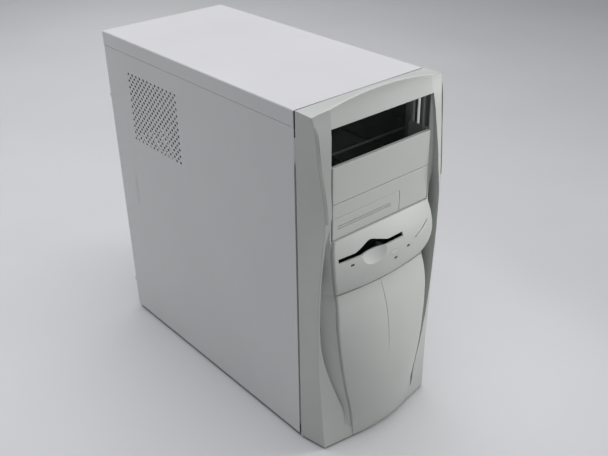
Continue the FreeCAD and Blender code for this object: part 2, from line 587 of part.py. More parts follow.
def steel_case():
    inner = HALF - 1.7
    floor = box(-inner, inner, 4.0, REAR_INSIDE, BASE_Z, BASE_Z + SHEET)
    floor_sides = both_sides(box(inner - SHEET, inner, 8, REAR_INSIDE - 3, BASE_Z, BASE_Z + 12))
    floor_holes = [rod((x, y, 0), (0, 0, 1), 2.2, 10) for x in (-45, 45) for y in (60, 300)]
    PIECES["base_pan"] = joined([floor] + floor_sides).cut(floor_holes)

    wall_low, wall_high = BASE_Z + SHEET, CASE_TOP - SHEET - 0.2
    front = box(-90.5, 90.5, 5, 6, wall_low, wall_high)
    bay_openings = [(BAY_BOTTOM + 2.5, BAY_BOTTOM + 39), (BAY_BOTTOM + 46, BAY_BOTTOM + 75.5),
                    (BAY_BOTTOM + 78, BAY_TOP + 0.5)]
    front_cuts = [box(-73.4, 73.4, 0, 10, low, high) for low, high in bay_openings]
    front_cuts.append(box(SMALL_CAGE_LEFT + 1, SMALL_CAGE_RIGHT - 1, 0, 10, 246, 279))
    front_cuts += [rod((x, 0, z), (0, 1, 0), 2.4, 10) for x in grid(-28, 8, 8) for z in grid(30, 8, 8)]
    front_cuts.append(box(34, 66, 0, 10, 228, 252))
    front_sides = both_sides(box(89.5, 90.5, 6, 16, wall_low + 12, SKIRT_BOTTOM - 12))
    PIECES["front_plate"] = front.cut(front_cuts).multiFuse(front_sides).removeSplitter()

    rear = box(-inner, inner, REAR_INSIDE, REAR_FACE, wall_low, wall_high)
    rear_cuts = [box(SUPPLY_LEFT + 4, SUPPLY_RIGHT - 4, 370, 390, SUPPLY_BOTTOM + 3, SUPPLY_TOP - 3),
                 box(*IO_WINDOW_X, 370, 390, *IO_WINDOW_Z)]
    rear_cuts += [box(SLOT_LEFT, SLOT_RIGHT, 370, 390, z - 6.2, z + 6.2) for z in SLOT_HEIGHTS]
    rear_cuts += [rod((x, 370, z), (0, 1, 0), 2.2, 20)
                  for x in (-THUMBSCREW_X, THUMBSCREW_X) for z in THUMBSCREW_HEIGHTS]
    rear_cuts += [rod((SLOT_SCREW_X, 370, z + 2), (0, 1, 0), 1.7, 20) for z in SLOT_HEIGHTS]
    rear_cuts += [rod((x, 370, z), (0, 1, 0), 2.0, 20)
                  for row in range(9) for x in grid(-62 + 3.2 * (row % 2), 6.4, 9 - row % 2)
                  for z in [222 + 6.4 * row]]
    rear_sides = both_sides(box(inner - SHEET, inner, REAR_INSIDE - 10, REAR_INSIDE, wall_low + 12,
                                SKIRT_BOTTOM - 12))
    PIECES["rear_panel"] = rear.cut(rear_cuts).multiFuse(rear_sides).removeSplitter()

    rail = joined([box(80, inner, 6, REAR_INSIDE, wall_high - SHEET, wall_high),
                   box(inner - SHEET, inner, 18, REAR_INSIDE - 12, SKIRT_BOTTOM - 10, wall_high)])
    rail = rail.cut([box(70, 100, y, y + 26, SKIRT_BOTTOM - 11, wall_high - 6) for y in (80, 180, 280)])
    PIECES["top_rails"] = group(both_sides(rail))

    top = box(-HALF, HALF, TOP_FRONT, FLANGE_Y + SHEET, SKIRT_BOTTOM, CASE_TOP)
    top = edge_filleted(top, 1.6, lambda edge: abs(edge.CenterOfMass.z - CASE_TOP) < 0.01
                        and (abs(edge.CenterOfMass.x) > 90 or edge.CenterOfMass.y > 300))
    top = top.cut([box(-HALF + SHEET, HALF - SHEET, -5, FLANGE_Y, 400, CASE_TOP - SHEET),
                   box(-HALF + SHEET, HALF - SHEET, 300, 400, 400, SUPPLY_TOP + 1),
                   box(-100, 100, 0, STEEL_FRONT, 400, CASE_TOP - SHEET)])
    PIECES["top_cover"] = top

    tray = box(BOARD_X + 8, BOARD_X + 9, 176, REAR_INSIDE, BASE_Z + SHEET, SUPPLY_BOTTOM - 2)
    tray_foot = box(BOARD_X + 8, BOARD_X + 18, 176, REAR_INSIDE, BASE_Z + SHEET, BASE_Z + 2 * SHEET)
    tray_edge = box(BOARD_X + 8, BOARD_X + 18, 176, 177, BASE_Z + SHEET, SUPPLY_BOTTOM - 2)
    tray_cuts = [box(70, 100, 240, 290, 190, 240), box(70, 100, 200, 214, 60, 90)]
    PIECES["motherboard_tray"] = joined([tray, tray_foot, tray_edge]).cut(tray_cuts)

    PIECES["left_side_panel"] = sheet_panel(True)
    PIECES["right_side_panel"] = mirrored(sheet_panel(False))
    PIECES["left_thumbscrews"] = thumbscrews(-THUMBSCREW_X)
    PIECES["right_thumbscrews"] = thumbscrews(THUMBSCREW_X)
    ring = Part.makeTorus(7.0, 1.4, Vector(-86, REAR_FACE + 0.6, LOOP_Z), Vector(1, 0, 0))
    ring = ring.common(box(-90, -80, REAR_FACE - 0.4, 400, 0, 300))
    plate = box(-90, -82, REAR_FACE, REAR_FACE + 1.2, LOOP_Z - 8.6, LOOP_Z + 8.6)
    PIECES["padlock_loop"] = joined([ring, plate]).cut(box(-100, -70, 300, REAR_FACE, 0, 300))
    feet = []
    for x in (-70, 70):
        for y in (22, 350):
            feet.append(Part.makeCone(9.5, 11, FOOT_HEIGHT, Vector(x, y, 0)))
    PIECES["feet"] = group(feet)


# ---- drives and their cages ----
def drive_cages():
    wall = BAY_WIDTH / 2 + 0.6
    low, high = BAY_BOTTOM - 2.0, BAY_TOP + 2.0
    back = 172.0
    sides = both_sides(box(wall, wall + SHEET, 6, back, low, high))
    deck = box(-wall - SHEET, wall + SHEET, 6, back, low, low + SHEET)
    deck = deck.cut([box(-50, 50, y, y + 40, 0, 400) for y in (30, 100)])
    ledges = []
    for row in range(BAY_COUNT):
        z = BAY_BOTTOM + row * BAY_HEIGHT
        ledges += both_sides(box(wall - 4, wall, 14, back - 14, z - 0.5, z + 0.5))
    holes = [rod((-90, y, BAY_BOTTOM + row * BAY_HEIGHT + DRIVE_HOLE_RISE), (1, 0, 0), DRIVE_HOLE_RADIUS, 180)
             for row in range(BAY_COUNT) for y in (DRIVE_HOLE_Y, DRIVE_HOLE_Y + DRIVE_HOLE_SPACING)]
    PIECES["drive_cage_large"] = joined(sides + [deck] + ledges).cut(holes)

    small_low, small_high = 160.0, BAY_BOTTOM - 2.2
    left, right = SMALL_CAGE_LEFT, SMALL_CAGE_RIGHT
    walls = [box(left - SHEET, left, 6, 160, small_low, small_high),
             box(right, right + SHEET, 6, 160, small_low, small_high),
             box(left - SHEET, right + SHEET, 6, 160, small_low - SHEET, small_low)]
    tabs = [box(left, left + 3, 14, 150, z, z + SHEET) for z in (HARD_DRIVE_Z - 1.2, FLOPPY_Z - 1.2)]
    tabs += [box(right - 3, right, 14, 150, z, z + SHEET) for z in (HARD_DRIVE_Z - 1.2, FLOPPY_Z - 1.2)]
    PIECES["drive_cage_small"] = joined(walls + tabs)

    flange = rod((0, 6.05, SPEAKER_Z), (0, 1, 0), SPEAKER_RADIUS, 2.4)
    basket = Part.makeCone(SPEAKER_RADIUS - 3, 13, 10, Vector(0, 8.4, SPEAKER_Z), Vector(0, 1, 0))
    magnet = rod((0, 18.3, SPEAKER_Z), (0, 1, 0), 14, 7)
    PIECES["speaker"] = joined([flange, basket, magnet])

    PIECES["floppy_drive"] = floppy_drive()
    x0, x1 = FLOPPY_X - 50.5, FLOPPY_X + 50.5
    drive = box(x0, x1, 10, 156, HARD_DRIVE_Z, HARD_DRIVE_Z + 25)
    drive = edge_filleted(drive, 2.5, lambda edge: abs(edge.CenterOfMass.z - HARD_DRIVE_Z - 12.5) < 1)
    lid = box(x0 + 4, x1 - 4, 16, 150, HARD_DRIVE_Z + 24, HARD_DRIVE_Z + 25.4)
    hub = rod((FLOPPY_X, 62, HARD_DRIVE_Z + 25), (0, 0, 1), 14, 1.2)
    circuit = box(x0 + 6, x1 - 6, 40, 150, HARD_DRIVE_Z - 0.6, HARD_DRIVE_Z)
    PIECES["hard_drive"] = joined([drive, lid, hub, circuit])


def floppy_drive():
    x0, x1 = FLOPPY_X - FLOPPY_WIDTH / 2 + 0.3, FLOPPY_X + FLOPPY_WIDTH / 2 - 0.3
    top = FLOPPY_Z + 25
    body = box(x0, x1, -18, 128, FLOPPY_Z, top)
    mouth = box(FLOPPY_X - 46, FLOPPY_X + 46, -20, 88, FLOPPY_SLOT_Z - 2.7, FLOPPY_SLOT_Z + 2.7)
    funnel = prism([(FLOPPY_X - 46, -19, FLOPPY_SLOT_Z - 4.4), (FLOPPY_X - 46, -19, FLOPPY_SLOT_Z + 4.4),
                    (FLOPPY_X - 46, -14, FLOPPY_SLOT_Z + 2.7), (FLOPPY_X - 46, -14, FLOPPY_SLOT_Z - 2.7)],
                   (92, 0, 0))
    recess = box(EJECT_X - 4, EJECT_X + 4, -20, -8, EJECT_Z - 4, EJECT_Z + 4)
    return body.cut([mouth, funnel, recess])


# ---- fans ----
def fan_frame(side, depth):
    """A square fan housing along +Z: a bored block, corner holes, and a hub held by four struts."""
    bore = side / 2 - 1.6
    block = box(-side / 2, side / 2, -side / 2, side / 2, 0, depth)
    block = edge_filleted(block, side * 0.06, lambda edge: abs(edge.CenterOfMass.z - depth / 2) < 0.01)
    corner = side / 2 - side * 0.056
    corners = [(x, y) for x in (-corner, corner) for y in (-corner, corner)]
    holes = [rod((x, y, -1), (0, 0, 1), side * 0.026, depth + 2) for x, y in corners]
    ring = block.cut([rod((0, 0, -1), (0, 0, 1), bore, depth + 2)] + holes)
    hub = rod((0, 0, 0), (0, 0, 1), side * 0.22, 2.4)
    struts = [turned(box(side * 0.2, bore + 0.6, -1.4, 1.4, 0, 2.4), (0, 0, 0), (0, 0, 1), angle)
              for angle in grid(45, 90, 4)]
    bearing_hole = rod((0, 0, -1), (0, 0, 1), 1.55, 5)
    return joined([ring, hub] + struts).cut(bearing_hole)


def fan_rotor(side, depth, blades=7):
    """A hub with a shaft and pitched blades, which turns about +Z inside its frame."""
    hub_radius = side * 0.22
    tip = side / 2 - 3.2
    low, high = 3.4, depth - 1.0
    hub = rod((0, 0, low), (0, 0, 1), hub_radius, high - low)
    hub = edge_filleted(hub, 1.0, lambda edge: abs(edge.CenterOfMass.z - high) < 0.01)
    shaft = rod((0, 0, 0.2), (0, 0, 1), 1.5, low)
    middle = (low + high) / 2
    blade = box(hub_radius - 1.5, tip + 4, -side * 0.13, side * 0.13, middle - 0.6, middle + 0.6)
    blade = turned(blade, (0, 0, middle), (1, 0, 0), 38)
    blade = blade.common(rod((0, 0, low + 0.2), (0, 0, 1), tip, high - low - 0.4))
    vanes = [turned(blade, (0, 0, 0), (0, 0, 1), angle) for angle in grid(0, 360.0 / blades, blades)]
    return joined([hub, shaft] + vanes)


def wire_guard(side):
    """A round wire grille along +Z: rings, cross wires, and corner eyes."""
    wire = 0.8
    corner = side / 2 - side * 0.056
    rings = [Part.makeTorus(radius, wire, Vector(0, 0, wire)) for radius in grid(side * 0.12, side * 0.1, 4)]
    spokes = []
    for angle in grid(45, 90, 4):
        spoke = rod((side * 0.12, 0, wire * 1.6), (1, 0, 0), wire, corner * math.sqrt(2) - side * 0.12)
        spokes.append(turned(spoke, (0, 0, 0), (0, 0, 1), angle))
    corners = [(x, y) for x in (-corner, corner) for y in (-corner, corner)]
    eyes = [Part.makeTorus(3.0, wire, Vector(x, y, wire * 1.6)) for x, y in corners]
    return joined(rings + spokes + eyes)


# ---- the power supply, seen at the rear ----
def power_supply():
    outer = box(SUPPLY_LEFT, SUPPLY_RIGHT, SUPPLY_FRONT, REAR_INSIDE, SUPPLY_BOTTOM, SUPPLY_TOP)
    inside = box(SUPPLY_LEFT + SHEET, SUPPLY_RIGHT - SHEET, SUPPLY_FRONT + SHEET, REAR_INSIDE - SHEET,
                 SUPPLY_BOTTOM + SHEET, SUPPLY_TOP - SHEET)
    cuts = [rod((FAN_X, 370, FAN_Z), (0, 1, 0), 37.6, 20),
            block_at(INLET_X, INLET_Z, 13.7, 10.2, 370, 390),
            block_at(ROCKER_X, ROCKER_Z, 9.7, 6.7, 370, 390),
            block_at(SELECTOR_X, SELECTOR_Z, 9.2, 4.7, 370, 390)]
    cuts += [box(x, x + 3.2, SUPPLY_FRONT - 5, SUPPLY_FRONT + 5, SUPPLY_BOTTOM + 12, SUPPLY_TOP - 12)
             for x in grid(SUPPLY_LEFT + 14, 7.6, 13)]
    cuts.append(rod((SUPPLY_RIGHT - 18, SUPPLY_FRONT - 5, SUPPLY_BOTTOM + 24), (0, 1, 0), 7, 10))
    PIECES["power_supply_case"] = outer.cut([inside] + cuts)
    board = box(SUPPLY_LEFT + 4, SUPPLY_RIGHT - 4, SUPPLY_FRONT + 6, REAR_INSIDE - 36, SUPPLY_BOTTOM + 6,
                SUPPLY_BOTTOM + 7.6)
    sinks = [box(x, x + 3, SUPPLY_FRONT + 20, REAR_INSIDE - 46, SUPPLY_BOTTOM + 7.6, SUPPLY_TOP - 22)
             for x in (SUPPLY_LEFT + 45, SUPPLY_LEFT + 95)]
    core = box(SUPPLY_LEFT + 58, SUPPLY_LEFT + 86, 290, 322, SUPPLY_BOTTOM + 7.6, SUPPLY_BOTTOM + 40)
    cans = [rod((SUPPLY_LEFT + 22, y, SUPPLY_BOTTOM + 7.6), (0, 0, 1), 11, 38) for y in (272, 300)]
    PIECES["power_supply_board"] = joined([board, core] + sinks + cans)

    frame = facing_rear(fan_frame(SUPPLY_FAN, 25), FAN_X, REAR_INSIDE - SHEET - 25.2, FAN_Z)
    PIECES["supply_fan_frame"] = frame
    rotor = facing_rear(fan_rotor(SUPPLY_FAN, 25), FAN_X, REAR_INSIDE - SHEET - 25.2, FAN_Z)
    PIECES["supply_fan_rotor"] = rotor
    PIECES["supply_fan_guard"] = facing_rear(wire_guard(SUPPLY_FAN), FAN_X, REAR_INSIDE, FAN_Z)

    socket = block_at(INLET_X, INLET_Z, 13.5, 10, REAR_INSIDE - 18, REAR_INSIDE + 1.8)
    mouth = prism([(INLET_X - 11.8, 0, INLET_Z - 8.2), (INLET_X + 11.8, 0, INLET_Z - 8.2),
                   (INLET_X + 11.8, 0, INLET_Z + 3.2), (INLET_X + 7.2, 0, INLET_Z + 8.2),
                   (INLET_X - 7.2, 0, INLET_Z + 8.2), (INLET_X - 11.8, 0, INLET_Z + 3.2)], (0, 17, 0))
    mouth = moved(mouth, 0, REAR_INSIDE - 15.1, 0)
    pin = box(-1, 1, REAR_INSIDE - 16, REAR_INSIDE - 4.6, -2, 2)
    pins = [moved(pin, INLET_X + x, 0, INLET_Z + z) for x, z in ((-7, -2.0), (7, -2.0), (0, 3.0))]
    ears = both_sides(box(13.5, 19, 0, 1.8, -5, 5))
    ears = [moved(ear, INLET_X, REAR_INSIDE, INLET_Z) for ear in ears]
    PIECES["mains_inlet"] = joined([socket.cut(mouth)] + ears + pins)

    rim = block_at(ROCKER_X, ROCKER_Z, 10.5, 7.5, REAR_INSIDE, REAR_INSIDE + 1.6)
    case = block_at(ROCKER_X, ROCKER_Z, 9.5, 6.5, REAR_INSIDE - 14, REAR_INSIDE + 1)
    housing = joined([rim, case])
    cavity = block_at(ROCKER_X, ROCKER_Z, 8.3, 5.6, REAR_INSIDE - 11, REAR_INSIDE + 3)
    axle_holes = rod((ROCKER_X - 9.2, ROCKER_PIVOT_Y, ROCKER_Z), (1, 0, 0), 1.05, 18.4)
    PIECES["mains_switch_housing"] = housing.cut([cavity, axle_holes])
    key_half = 4.3
    key_left = ROCKER_X - 7.8
    drum = rod((key_left, ROCKER_PIVOT_Y, ROCKER_Z), (1, 0, 0), key_half, 15.6)
    profile = [(0, -key_half), (6.0, -key_half), (4.9, 0), (6.0, key_half), (0, key_half)]
    face = prism([(key_left, ROCKER_PIVOT_Y + out, rise) for out, rise in profile], (15.6, 0, 0))
    key = joined([drum, moved(face, 0, 0, ROCKER_Z),
                  rod((ROCKER_X - 9.0, ROCKER_PIVOT_Y, ROCKER_Z), (1, 0, 0), 1.0, 18)])
    PIECES["mains_switch_rocker"] = turned(key, (0, ROCKER_PIVOT_Y, ROCKER_Z), (1, 0, 0), -ROCKER_TILT)

    selector = block_at(SELECTOR_X, SELECTOR_Z, 9, 4.5, REAR_INSIDE - 8, REAR_INSIDE + 0.8)
    track = block_at(SELECTOR_X, SELECTOR_Z, 7.5, 3, REAR_INSIDE - 5, REAR_INSIDE + 3)
    PIECES["voltage_selector_housing"] = selector.cut(track)
    slider = block_at(SELECTOR_X - 3.0, SELECTOR_Z, 4.1, 2.7, REAR_INSIDE - 4.7, REAR_INSIDE - 1.4)
    notch = block_at(SELECTOR_X - 3.0, SELECTOR_Z, 0.6, 2.0, REAR_INSIDE - 2.6, REAR_INSIDE)
    PIECES["voltage_selector_slider"] = slider.cut(notch)


# ---- the main board and what is on it ----
def main_board():
    board = box(BOARD_X, BOARD_BACK_X, BOARD_FRONT_Y, BOARD_REAR_Y, BOARD_LOW_Z, BOARD_HIGH_Z)
    stand_places = [(y, z) for y in (200.0, 284.0, 368.0) for z in (28.0, 157.0, 316.0)]
    PIECES["main_board"] = board.cut([rod((60, y, z), (1, 0, 0), 1.9, 20) for y, z in stand_places])
    PIECES["board_standoffs"] = group(
        joined([rod((BOARD_BACK_X, y, z), (1, 0, 0), 2.8, BOARD_X + 8 - BOARD_BACK_X),
                rod((BOARD_X - 1.8, y, z), (1, 0, 0), 1.6, 6),
                rod((BOARD_X - 2.0, y, z), (1, 0, 0), 3.0, 2.0)])
        for y, z in stand_places)

    PIECES["processor_socket"] = board_block(CPU_Y, CPU_Z, 25, 25, 0, 4)
    carrier = board_block(CPU_Y, CPU_Z, 24, 24, 4, 5.2)
    PIECES["processor"] = joined([carrier, board_block(CPU_Y, CPU_Z, 12, 12, 5.2, 6.4)])
    sink_face = BOARD_X - 6.4
    base = box(sink_face - 5, sink_face, CPU_Y - 30, CPU_Y + 30, CPU_Z - 30, CPU_Z + 30)
    fins = [box(sink_face - 32, sink_face - 5, CPU_Y - 30, CPU_Y + 30, z, z + 1.6)
            for z in grid(CPU_Z - 30, 4.86, 13)]
    PIECES["heatsink"] = joined([base] + fins)
    fan_face = sink_face - 32
    PIECES["processor_fan_frame"] = facing_left(fan_frame(PROCESSOR_FAN, 15), fan_face, CPU_Y, CPU_Z)
    PIECES["processor_fan_rotor"] = facing_left(fan_rotor(PROCESSOR_FAN, 15), fan_face, CPU_Y, CPU_Z)

    sockets, modules = [], []
    for y in MEMORY_YS:
        body = box(BOARD_X - 9, BOARD_X, y - 3.2, y + 3.2, 172, 312)
        sockets.append(body.cut(box(BOARD_X - 12, BOARD_X - 3, y - 0.9, y + 0.9, 175, 309)))
    for y in MEMORY_YS[:2]:
        card = box(BOARD_X - 34, BOARD_X - 3.2, y - 0.6, y + 0.6, 175.4, 308.6)
        chips = [box(BOARD_X - 27, BOARD_X - 17, y - 1.8, y - 0.6, z, z + 10.5) for z in grid(182, 15.2, 8)]
        modules.append(joined([card] + chips))
    PIECES["memory_sockets"] = group(sockets)
    PIECES["memory_modules"] = group(modules)

    slots = []
    for z in SLOT_HEIGHTS[1:6]:
        body = box(BOARD_X - 11, BOARD_X, CARD_SLOT_YS[0], CARD_SLOT_YS[1], z - 4, z + 4)
        gap = box(BOARD_X - 14, BOARD_X - 3, CARD_SLOT_YS[0] + 3, CARD_SLOT_YS[1] - 3, z - 0.9, z + 0.9)
        slots.append(body.cut(gap))
    PIECES["expansion_sockets"] = group(slots)
    can_places = [(345, z) for z in grid(200, 12, 5)] + [(y, 290) for y in grid(262, 12, 3)]
    PIECES["board_capacitors"] = group(rod((BOARD_X - 13, y, z), (1, 0, 0), 4.2, 13) for y, z in can_places)
    cell = rod((BOARD_X - 5, 220, 50), (1, 0, 0), 10, 2.2)
    PIECES["clock_battery"] = joined([board_block(220, 50, 12, 12, 0, 3), cell])
    chip_places = [(262, 176, 15), (246, 60, 12), (240, 118, 8)]
    chips = [board_block(y, z, half, half, 0, 3) for y, z, half in chip_places]
    headers = [board_block(199, 200, 5, 10, 0, 9), board_block(199, 254, 5, 20, 0, 9),
               board_block(199, POWER_PLUG_Z, 6, 9, 0, 12)]
    PIECES["board_chips_and_headers"] = group(chips + headers)


def rear_interfaces():
    shield = box(*IO_WINDOW_X, REAR_INSIDE, REAR_FACE - 0.2, *IO_WINDOW_Z)
    ports = []
    middle_x = BOARD_X - 14
    for z in (312, 298):
        ring = rod((middle_x + 2, 364, z), (0, 1, 0), 6.2, REAR_FACE + 1.0 - 364)
        ports.append(ring.cut(rod((middle_x + 2, REAR_FACE - 1.5, z), (0, 1, 0), 4.6, 12)))
    for z in (284.5, 277):
        body = box(middle_x - 6, middle_x + 8, 362, REAR_FACE + 0.8, z - 3.2, z + 3.2)
        ports.append(body.cut(box(middle_x - 5, middle_x + 7, REAR_FACE - 2.5, 400, z - 2.2, z + 2.2)))
    for z, length in ((247, 42), (203, 38)):
        body = box(middle_x - 2, middle_x + 8, 362, REAR_FACE + 4.6, z - length / 2, z + length / 2)
        ports.append(body.cut(box(middle_x - 1, middle_x + 7, REAR_FACE + 1.4, 400, z - length / 2 + 1.2,
                                  z + length / 2 - 1.2)))
    for x in (middle_x + 4, middle_x - 9, middle_x - 22):
        jack = rod((x, 366, 174), (0, 1, 0), 4.2, REAR_FACE + 2.2 - 366)
        ports.append(jack.cut(rod((x, REAR_FACE - 10, 174), (0, 1, 0), 1.8, 20)))
    PIECES["rear_ports"] = group(ports)
    clearance = []
    for port in ports:
        bounds = port.BoundBox
        clearance.append(box(bounds.XMin, bounds.XMax, 370, 390, bounds.ZMin, bounds.ZMax))
    PIECES["port_shield"] = shield.cut(clearance)

    covers = []
    for index, z in enumerate(SLOT_HEIGHTS):
        if index == CARD_SLOT:
            continue
        blade = box(SLOT_LEFT - 9, SLOT_RIGHT + 3, REAR_INSIDE - SHEET, REAR_INSIDE, z - 9, z + 9)
        covers.append(blade.cut(rod((SLOT_SCREW_X, 370, z + 2), (0, 1, 0), 1.7, 20)))
    PIECES["slot_covers"] = group(covers)

    z = SLOT_HEIGHTS[CARD_SLOT]
    card = box(-28, BOARD_X - 3.4, 214, REAR_INSIDE - SHEET - 0.2, z - 0.8, z + 0.8)
    card = card.cut([box(BOARD_X - 11.4, 90, 200, CARD_SLOT_YS[0] + 3.2, z - 5, z + 5),
                     box(BOARD_X - 11.4, 90, CARD_SLOT_YS[1] - 3.2, 400, z - 5, z + 5)])
    chip = box(4, 36, 268, 300, z - 4, z - 0.8)
    chip_sink = [box(6, 34, y, y + 1.4, z - 12, z - 4) for y in grid(270, 4.4, 7)]
    memory = [box(x, x + 10, y, y + 20, z - 2.2, z - 0.8) for x in (-20, 44) for y in (240, 310)]
    bracket = box(SLOT_LEFT - 9, SLOT_RIGHT + 3, REAR_INSIDE - SHEET, REAR_INSIDE, z - 9, z + 9)
    bracket = bracket.cut([rod((SLOT_SCREW_X, 370, z + 2), (0, 1, 0), 1.7, 20),
                           box(-11, 20, 370, 390, z - 6.0, z + 4.2)])
    outlet = box(-10.6, 19.6, 366, REAR_FACE + 4.6, z - 5.8, z + 3.8)
    outlet = outlet.cut(box(-9.4, 18.4, REAR_FACE + 2, 400, z - 4.6, z + 2.6))
    PIECES["card_bracket"] = bracket
    PIECES["graphics_card"] = joined([card, chip, outlet] + chip_sink + memory)
    screws = [case_screw(SLOT_SCREW_X, height + 2, True) for height in SLOT_HEIGHTS]
    screws += [case_screw(x, height, False) for x in (SUPPLY_LEFT + 26, SUPPLY_RIGHT - 8)
               for height in (SUPPLY_BOTTOM, SUPPLY_TOP - 2.4)]
    PIECES["case_screws"] = group(screws)


def case_screw(x, z, with_shaft):
    """A cross-head screw driven into the rear wall."""
    pieces = [rod((x, REAR_FACE, z), (0, 1, 0), 3.2, 2.0)]
    if with_shaft:
        pieces.append(rod((x, REAR_FACE - 6, z), (0, 1, 0), 1.5, 7))
    cross = [block_at(x, z, 1.9, 0.45, REAR_FACE + 0.9, 400), block_at(x, z, 0.45, 1.9, REAR_FACE + 0.9, 400)]
    return joined(pieces).cut(cross)


# ---- cables that the case holds from end to end ----
def route(points, bend):
    """Straight runs joined by tangent arcs of one bend radius."""
    edges = []
    last = points[0]
    for before, here, after in zip(points, points[1:], points[2:]):
        back = (before - here).normalize()
        ahead = (after - here).normalize()
        half = back.getAngle(ahead) / 2
        reach = bend / math.tan(half)
        start, end = here + back * reach, here + ahead * reach
        inward = (back + ahead).normalize()
        middle = here + inward * (bend / math.sin(half) - bend)
        edges += [Part.makeLine(last, start), Part.Arc(start, middle, end).toShape()]
        last = end
    edges.append(Part.makeLine(last, points[-1]))
    return Part.Wire(edges)


def round_cable(corners, radius, bend):
    points = [Vector(*corner) for corner in corners]
    section = Part.Wire(Part.makeCircle(radius, points[0], points[1] - points[0]))
    return route(points, bend).makePipeShell([section], True, False)


def ribbon_cable(corners, low, high, bend):
    """A flat cable that stands on edge: its corners are seen from above."""
    points = [Vector(x, y, low) for x, y in corners]
    thickness = 1.0
    across = (points[1] - points[0]).normalize().cross(Vector(0, 0, 1)) * (thickness / 2)
    rise = Vector(0, 0, high - low)
    start = points[0]
    section = Part.makePolygon([start + across, start - across, start - across + rise, start + across + rise,
                                start + across])
    return route(points, bend).makePipeShell([section], True, False)


def cables():
    plug_x = BOARD_X - 9
    floppy_plug = (FLOPPY_X, 128)
    PIECES["floppy_ribbon_cable"] = ribbon_cable(
        [floppy_plug, (FLOPPY_X, 180), (38, 187), (plug_x - 9, 199), (plug_x, 199)], 236, 272, 5)
    PIECES["drive_ribbon_cable"] = ribbon_cable(
        [(FLOPPY_X, 156), (FLOPPY_X, 170), (20, 180), (plug_x - 9, 199), (plug_x, 199)], 192, 208, 4)
    PIECES["board_power_cable"] = round_cable(
        [(SUPPLY_RIGHT - 18, SUPPLY_FRONT, SUPPLY_BOTTOM + 24), (SUPPLY_RIGHT - 18, 199, SUPPLY_BOTTOM + 24),
         (36, 199, POWER_PLUG_Z), (BOARD_X - 12, 199, POWER_PLUG_Z)], 4.5, 8)


def build():
    PIECES["front_bezel"] = front_bezel()
    bay_covers()
    control_pieces()
    steel_case()
    drive_cages()
    power_supply()
    main_board()
    rear_interfaces()
    cables()


build()
os.makedirs("parts", exist_ok=True)
for name, piece in PIECES.items():
    placed = moved(piece, 0, TO_ORIGIN, 0)
    placed.exportStep("parts/" + name + ".step")
    print(name, "solids", len(placed.Solids), "valid", placed.isValid(), "volume", round(placed.Volume))
print("pieces", len(PIECES))
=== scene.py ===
import json
import math

import bpy
from mathutils import Matrix, Vector

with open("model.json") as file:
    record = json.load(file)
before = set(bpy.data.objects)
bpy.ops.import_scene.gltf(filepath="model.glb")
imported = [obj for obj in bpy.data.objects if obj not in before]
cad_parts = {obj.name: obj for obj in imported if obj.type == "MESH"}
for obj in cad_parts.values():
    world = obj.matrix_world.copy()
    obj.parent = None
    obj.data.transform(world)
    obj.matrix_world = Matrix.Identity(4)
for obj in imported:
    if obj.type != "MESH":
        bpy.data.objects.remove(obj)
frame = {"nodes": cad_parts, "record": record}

# Looks of the desktop computer tower: procedural materials for every node, a floor, lights and a camera.
# All lengths are in metres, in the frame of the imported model: +Z up, the front faces -Y.

# ---- colours, as linear red, green and blue ----
BEZEL = (0.455, 0.472, 0.449)
STEEL_PAINT = (0.570, 0.574, 0.576)
SKY = (0.95, 0.97, 1.0)
FLOOR_DARK = (0.545, 0.55, 0.555)
FLOOR_PALE = (0.575, 0.58, 0.585)

# ---- the rub mark on the vented side: its height range and its place along Y ----
SMUDGE_HEIGHTS = (0.205, 0.232)
SMUDGE_ALONG = (0.175, 0.177)

# ---- floor, lights and camera ----
FLOOR_REACH = 30.0
FLOOR_DROP = 0.0005
SKY_STRENGTH = 0.25
# name, place, point aimed at, side of the square, watts, colour, spread in degrees
SOFTBOXES = [
    ("overhead", (0.0, 0.1, 2.2), (0, 0, 0.2), 2.0, 44.0, (1.0, 0.985, 1.02), 180.0),
    ("left_back", (-0.75, 0.85, 0.60), (0, 0.1, 0.25), 0.6, 1.7, (0.98, 1.0, 0.99), 180.0),
    ("front_low", (0.5, -2.3, 0.80), (0, 0, 0.2), 1.2, 5.0, (1.0, 1.0, 0.97), 180.0),
    ("near_right", (0.55, -0.55, 0.42), (0.05, -0.2, 0.25), 0.25, 0.60, (1.0, 1.0, 1.0), 80.0),
    ("backdrop", (0.6, 1.6, 1.7), (0.6, 1.6, 0), 1.2, 3.0, (1.0, 1.0, 1.0), 90.0),
]
CAMERA_PLACE = (-0.57763, -0.73895, 0.72602)
CAMERA_YAW, CAMERA_PITCH, CAMERA_ROLL = 40.645, 29.696, -0.883
CAMERA_LENS_MM = 48.26
SENSOR_WIDTH_MM = 36.0

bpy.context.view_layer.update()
record = frame["record"]
nodes = frame["nodes"]
scene = bpy.context.scene


